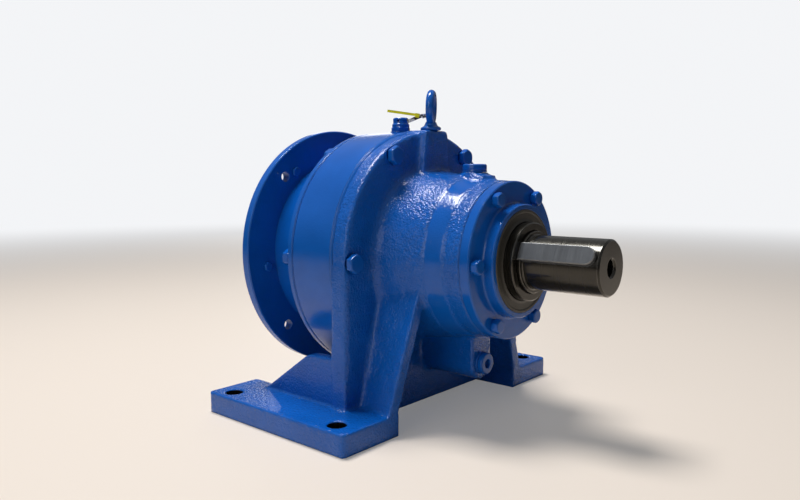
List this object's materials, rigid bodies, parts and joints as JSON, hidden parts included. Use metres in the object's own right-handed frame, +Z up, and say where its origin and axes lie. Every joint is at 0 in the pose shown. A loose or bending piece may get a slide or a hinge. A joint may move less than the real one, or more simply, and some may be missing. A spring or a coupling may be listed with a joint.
{
  "type": "cycloidal reducer",
  "caption": "Foot-mounted cycloidal reducer with a keyed solid output shaft, a cast bearing snout and an open round motor flange.",
  "frame": {"origin": "centre of the foot-hole pattern on the base plane", "axes": "+X along the shafts towards the output end, +Y across the feet, +Z up"},
  "size_m": [0.3323, 0.3244, 0.3099],
  "materials": {
    "blue_paint": "glossy enamel over cast and machined iron",
    "dark_steel": "oiled dark machined steel",
    "machined_steel": "ground",
    "hardened_steel": "polished",
    "black_rubber": "satin",
    "gasket_paper": "matt",
    "yellow_plastic": "satin",
    "clear_film": "glossy"
  },
  "bodies": {
    "housing": {"casing": "blue_paint", "ring_housing": "blue_paint", "motor_adapter": "blue_paint", "adapter_plate": "blue_paint", "input_carrier": "blue_paint", "motor_flange": "blue_paint", "output_cover": "blue_paint", "ring_pins": "hardened_steel", "ring_gaskets": "gasket_paper", "cover_gasket": "gasket_paper", "casing_bolts": "blue_paint", "casing_nuts": "blue_paint", "casing_washers": "blue_paint", "cover_bolts": "blue_paint", "flange_screws": "blue_paint", "eyebolt": "blue_paint", "vent_plug": "blue_paint", "filler_plug": "blue_paint", "drain_plug": "blue_paint", "plug_washers": "blue_paint", "cable_tie": "yellow_plastic", "hang_tag": "clear_film", "output_seal": "black_rubber", "input_seal": "black_rubber", "bearing_circlip": "dark_steel", "rear_bearing_outer": "machined_steel", "front_bearing_outer": "machined_steel", "input_bearing_outer": "machined_steel"},
    "output": {"output_shaft": "dark_steel", "shaft_key": "dark_steel", "seal_sleeve": "dark_steel", "bearing_spacer": "machined_steel", "output_pins": "hardened_steel", "disc_spacer": "machined_steel", "rear_bearing_inner": "machined_steel", "front_bearing_inner": "machined_steel", "pilot_bearing_outer": "machined_steel"},
    "input": {"input_quill": "machined_steel", "eccentric_cam": "machined_steel", "cam_key": "machined_steel", "quill_circlip": "dark_steel", "input_bearing_inner": "machined_steel", "pilot_bearing_inner": "machined_steel"},
    "cycloid_disc_a": {"disc_a": "machined_steel"},
    "cycloid_disc_b": {"disc_b": "machined_steel"},
    "eccentric_cage_a": {"eccentric_rollers_a": "hardened_steel"},
    "eccentric_cage_b": {"eccentric_rollers_b": "hardened_steel"},
    "rear_cage": {"rear_bearing_balls": "hardened_steel"},
    "front_cage": {"front_bearing_balls": "hardened_steel"},
    "input_cage": {"input_bearing_balls": "hardened_steel"},
    "pilot_cage": {"pilot_bearing_balls": "hardened_steel"},
    "pin_roller_1": {"output_roller_1": "hardened_steel"},
    "pin_roller_2": {"output_roller_2": "hardened_steel"},
    "pin_roller_3": {"output_roller_3": "hardened_steel"},
    "pin_roller_4": {"output_roller_4": "hardened_steel"},
    "pin_roller_5": {"output_roller_5": "hardened_steel"},
    "pin_roller_6": {"output_roller_6": "hardened_steel"},
    "pin_roller_7": {"output_roller_7": "hardened_steel"},
    "pin_roller_8": {"output_roller_8": "hardened_steel"}
  },
  "joints": [
    {"name": "output_spin", "type": "hinge", "parent": "housing", "child": "output", "pos_m": [0.1, 0, 0.15], "axis": [1, 0, 0], "continuous": true},
    {"name": "input_spin", "type": "hinge", "parent": "housing", "child": "input", "pos_m": [-0.03, 0, 0.15], "axis": [1, 0, 0], "continuous": true},
    {"name": "disc_a_spin", "type": "hinge", "parent": "input", "child": "cycloid_disc_a", "pos_m": [0.003, 0.00367, 0.15098], "axis": [1, 0, 0], "continuous": true},
    {"name": "disc_b_spin", "type": "hinge", "parent": "input", "child": "cycloid_disc_b", "pos_m": [0.021, -0.00367, 0.14902], "axis": [1, 0, 0], "continuous": true},
    {"name": "eccentric_cage_a_spin", "type": "hinge", "parent": "input", "child": "eccentric_cage_a", "pos_m": [0.003, 0.00367, 0.15098], "axis": [1, 0, 0], "continuous": true},
    {"name": "eccentric_cage_b_spin", "type": "hinge", "parent": "input", "child": "eccentric_cage_b", "pos_m": [0.021, -0.00367, 0.14902], "axis": [1, 0, 0], "continuous": true},
    {"name": "rear_cage_spin", "type": "hinge", "parent": "housing", "child": "rear_cage", "pos_m": [0.066, 0, 0.15], "axis": [1, 0, 0], "continuous": true},
    {"name": "front_cage_spin", "type": "hinge", "parent": "housing", "child": "front_cage", "pos_m": [0.126, 0, 0.15], "axis": [1, 0, 0], "continuous": true},
    {"name": "input_cage_spin", "type": "hinge", "parent": "housing", "child": "input_cage", "pos_m": [-0.03, 0, 0.15], "axis": [1, 0, 0], "continuous": true},
    {"name": "pilot_cage_spin", "type": "hinge", "parent": "output", "child": "pilot_cage", "pos_m": [0.042, 0, 0.15], "axis": [1, 0, 0], "continuous": true},
    {"name": "pin_roller_1_spin", "type": "hinge", "parent": "output", "child": "pin_roller_1", "pos_m": [0.012, 0.057, 0.15], "axis": [1, 0, 0], "continuous": true},
    {"name": "pin_roller_2_spin", "type": "hinge", "parent": "output", "child": "pin_roller_2", "pos_m": [0.012, 0.0403, 0.1903], "axis": [1, 0, 0], "continuous": true},
    {"name": "pin_roller_3_spin", "type": "hinge", "parent": "output", "child": "pin_roller_3", "pos_m": [0.012, 0, 0.207], "axis": [1, 0, 0], "continuous": true},
    {"name": "pin_roller_4_spin", "type": "hinge", "parent": "output", "child": "pin_roller_4", "pos_m": [0.012, -0.0403, 0.1903], "axis": [1, 0, 0], "continuous": true},
    {"name": "pin_roller_5_spin", "type": "hinge", "parent": "output", "child": "pin_roller_5", "pos_m": [0.012, -0.057, 0.15], "axis": [1, 0, 0], "continuous": true},
    {"name": "pin_roller_6_spin", "type": "hinge", "parent": "output", "child": "pin_roller_6", "pos_m": [0.012, -0.0403, 0.1097], "axis": [1, 0, 0], "continuous": true},
    {"name": "pin_roller_7_spin", "type": "hinge", "parent": "output", "child": "pin_roller_7", "pos_m": [0.012, 0, 0.093], "axis": [1, 0, 0], "continuous": true},
    {"name": "pin_roller_8_spin", "type": "hinge", "parent": "output", "child": "pin_roller_8", "pos_m": [0.012, 0.0403, 0.1097], "axis": [1, 0, 0], "continuous": true}
  ],
  "couplings": [
    {"joint": "input_spin", "follows": "output_spin", "ratio": -11},
    {"joint": "disc_a_spin", "follows": "output_spin", "ratio": 12},
    {"joint": "disc_b_spin", "follows": "output_spin", "ratio": 12},
    {"joint": "eccentric_cage_a_spin", "follows": "output_spin", "ratio": 6.9677},
    {"joint": "eccentric_cage_b_spin", "follows": "output_spin", "ratio": 6.9677},
    {"joint": "rear_cage_spin", "follows": "output_spin", "ratio": 0.41351},
    {"joint": "front_cage_spin", "follows": "output_spin", "ratio": 0.40968},
    {"joint": "input_cage_spin", "follows": "output_spin", "ratio": -4.4},
    {"joint": "pilot_cage_spin", "follows": "output_spin", "ratio": -4.7532},
    {"joint": "pin_roller_1_spin", "follows": "output_spin", "ratio": 6.2041},
    {"joint": "pin_roller_2_spin", "follows": "output_spin", "ratio": 6.2041},
    {"joint": "pin_roller_3_spin", "follows": "output_spin", "ratio": 6.2041},
    {"joint": "pin_roller_4_spin", "follows": "output_spin", "ratio": 6.2041},
    {"joint": "pin_roller_5_spin", "follows": "output_spin", "ratio": 6.2041},
    {"joint": "pin_roller_6_spin", "follows": "output_spin", "ratio": 6.2041},
    {"joint": "pin_roller_7_spin", "follows": "output_spin", "ratio": 6.2041},
    {"joint": "pin_roller_8_spin", "follows": "output_spin", "ratio": 6.2041}
  ]
}
